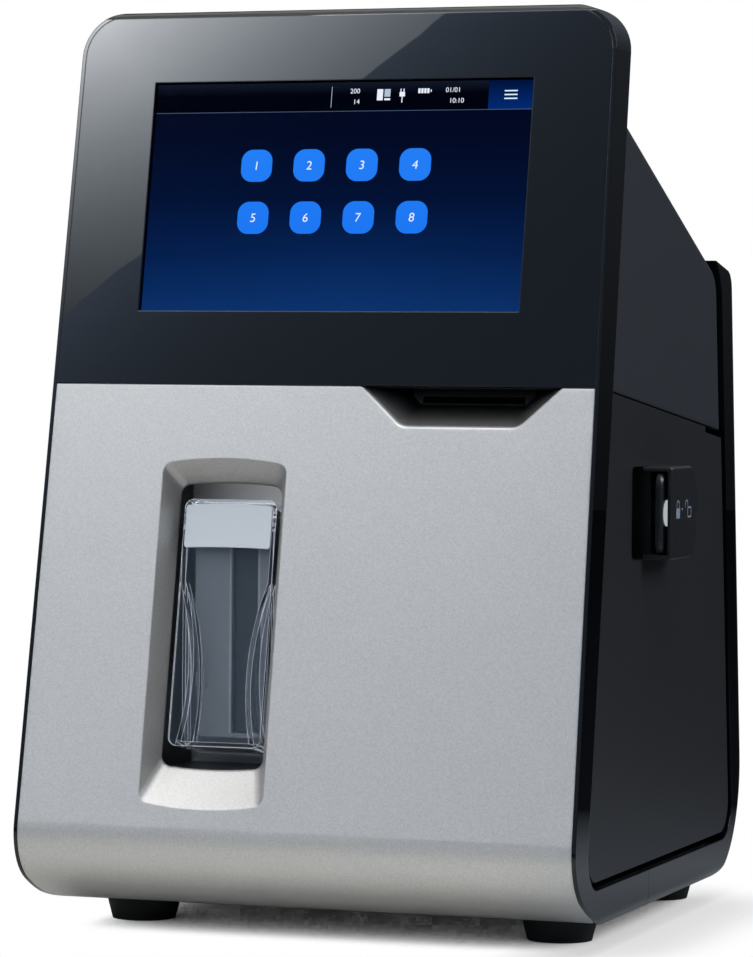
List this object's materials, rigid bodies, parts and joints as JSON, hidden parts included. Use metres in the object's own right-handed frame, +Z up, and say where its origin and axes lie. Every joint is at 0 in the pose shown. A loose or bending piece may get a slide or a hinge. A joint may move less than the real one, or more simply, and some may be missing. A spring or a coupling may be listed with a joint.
{
  "type": "blood gas analyzer",
  "caption": "Bench-top blood gas analyzer with leaning touch display, swing-out sampler, paper slip outlet and cartridge door at the side.",
  "frame": {"origin": "centre of the bottom of the overall box, on the bench under the feet", "axes": "+X to the right as seen from the front, +Y to the rear, +Z up"},
  "size_m": [0.2342, 0.2462, 0.3573],
  "materials": {
    "gloss_black": "high gloss",
    "matte_black": "fine matte texture",
    "silver_paint": "metallic silver paint",
    "glass_screen": "clear, flush",
    "display_face": "lit blue picture on a dark module",
    "circuit_green": "solder mask",
    "zinc_steel": "zinc plated sheet",
    "battery_grey": "moulded",
    "foot_rubber": "matte",
    "well_black": "matte",
    "pin_steel": "ground",
    "clear_plastic": "clear moulded plastic",
    "pale_plastic": "satin",
    "blue_grey": "satin",
    "head_metal": "anodised",
    "platen_rubber": "ground",
    "paper_white": "wound paper",
    "tray_grey": "moulded",
    "cartridge_white": "moulded",
    "pump_blue": "moulded",
    "paddle_grey": "satin",
    "dot_white": "printed",
    "port_metal": "plated"
  },
  "bodies": {
    "chassis": {"front_frame": "gloss_black", "rear_frame": "gloss_black", "upper_housing": "matte_black", "left_side_panel": "matte_black", "front_cover": "silver_paint", "display_panel": "gloss_black", "touch_glass": "glass_screen", "lcd_module": "display_face", "display_board": "circuit_green", "rear_cover": "matte_black", "base_pan": "zinc_steel", "upper_deck": "zinc_steel", "left_upright": "zinc_steel", "main_board": "circuit_green", "battery_pack": "battery_grey", "feet": "foot_rubber", "sampler_well": "well_black", "sampler_pin": "pin_steel", "paper_guide": "well_black", "printer_frame": "zinc_steel", "print_head": "head_metal", "cartridge_tray": "tray_grey", "cartridge_case": "cartridge_white", "cartridge_grip": "cartridge_white", "pump_motor": "head_metal", "valve_block": "tray_grey", "hinge_brackets": "zinc_steel", "hinge_pins": "pin_steel", "power_jack": "paddle_grey", "usb_ports": "port_metal", "lan_port": "port_metal", "rocker_bezel": "paddle_grey", "fan_frame": "tray_grey"},
    "sampler": {"sampler_handle": "clear_plastic", "sampler_cap": "pale_plastic", "sampler_arm": "blue_grey", "probe_needle": "pin_steel"},
    "door": {"cartridge_door": "matte_black", "latch_housing": "matte_black"},
    "latch": {"latch_paddle": "paddle_grey", "latch_dot": "dot_white", "latch_bar": "pin_steel"},
    "platen": {"platen_roller": "platen_rubber"},
    "paper": {"paper_roll": "paper_white"},
    "rocker": {"rocker": "paddle_grey"},
    "fan": {"fan_rotor": "tray_grey"},
    "pump": {"pump_rotor": "pump_blue", "pump_rollers": "pump_blue"}
  },
  "joints": [
    {"name": "sampler_lift", "type": "hinge", "parent": "chassis", "child": "sampler", "pos_m": [-0.04047, -0.0818, 0.16], "axis": [-1, 0, 0], "range_deg": [0, 70]},
    {"name": "door_swing", "type": "hinge", "parent": "chassis", "child": "door", "pos_m": [0.09956, 0.09326, 0.054], "axis": [-0.0104, -0.0802, 0.9967], "range_deg": [0, 92]},
    {"name": "latch_slide", "type": "slide", "parent": "door", "child": "latch", "axis": [0, 1, 0], "range_m": [0, 0.008], "stiffness_N_per_m": 300, "springref_m": -0.002},
    {"name": "paper_spin", "type": "hinge", "parent": "chassis", "child": "paper", "pos_m": [0.05333, -0.0158, 0.232], "axis": [1, 0, 0], "continuous": true},
    {"name": "platen_spin", "type": "hinge", "parent": "chassis", "child": "platen", "pos_m": [0.05333, -0.0628, 0.214], "axis": [1, 0, 0], "continuous": true},
    {"name": "pump_spin", "type": "hinge", "parent": "chassis", "child": "pump", "pos_m": [-0.00667, 0.0382, 0.112], "axis": [1, 0, 0], "continuous": true},
    {"name": "fan_spin", "type": "hinge", "parent": "chassis", "child": "fan", "pos_m": [-0.05267, 0.10448, 0.15079], "axis": [0, 0.9976, 0.0698], "continuous": true},
    {"name": "rocker_tilt", "type": "hinge", "parent": "chassis", "child": "rocker", "pos_m": [-0.04467, 0.1169, 0.08349], "axis": [1, 0, 0], "range_deg": [0, 14]}
  ],
  "couplings": [
    {"joint": "platen_spin", "follows": "paper_spin", "ratio": -3.8333}
  ]
}
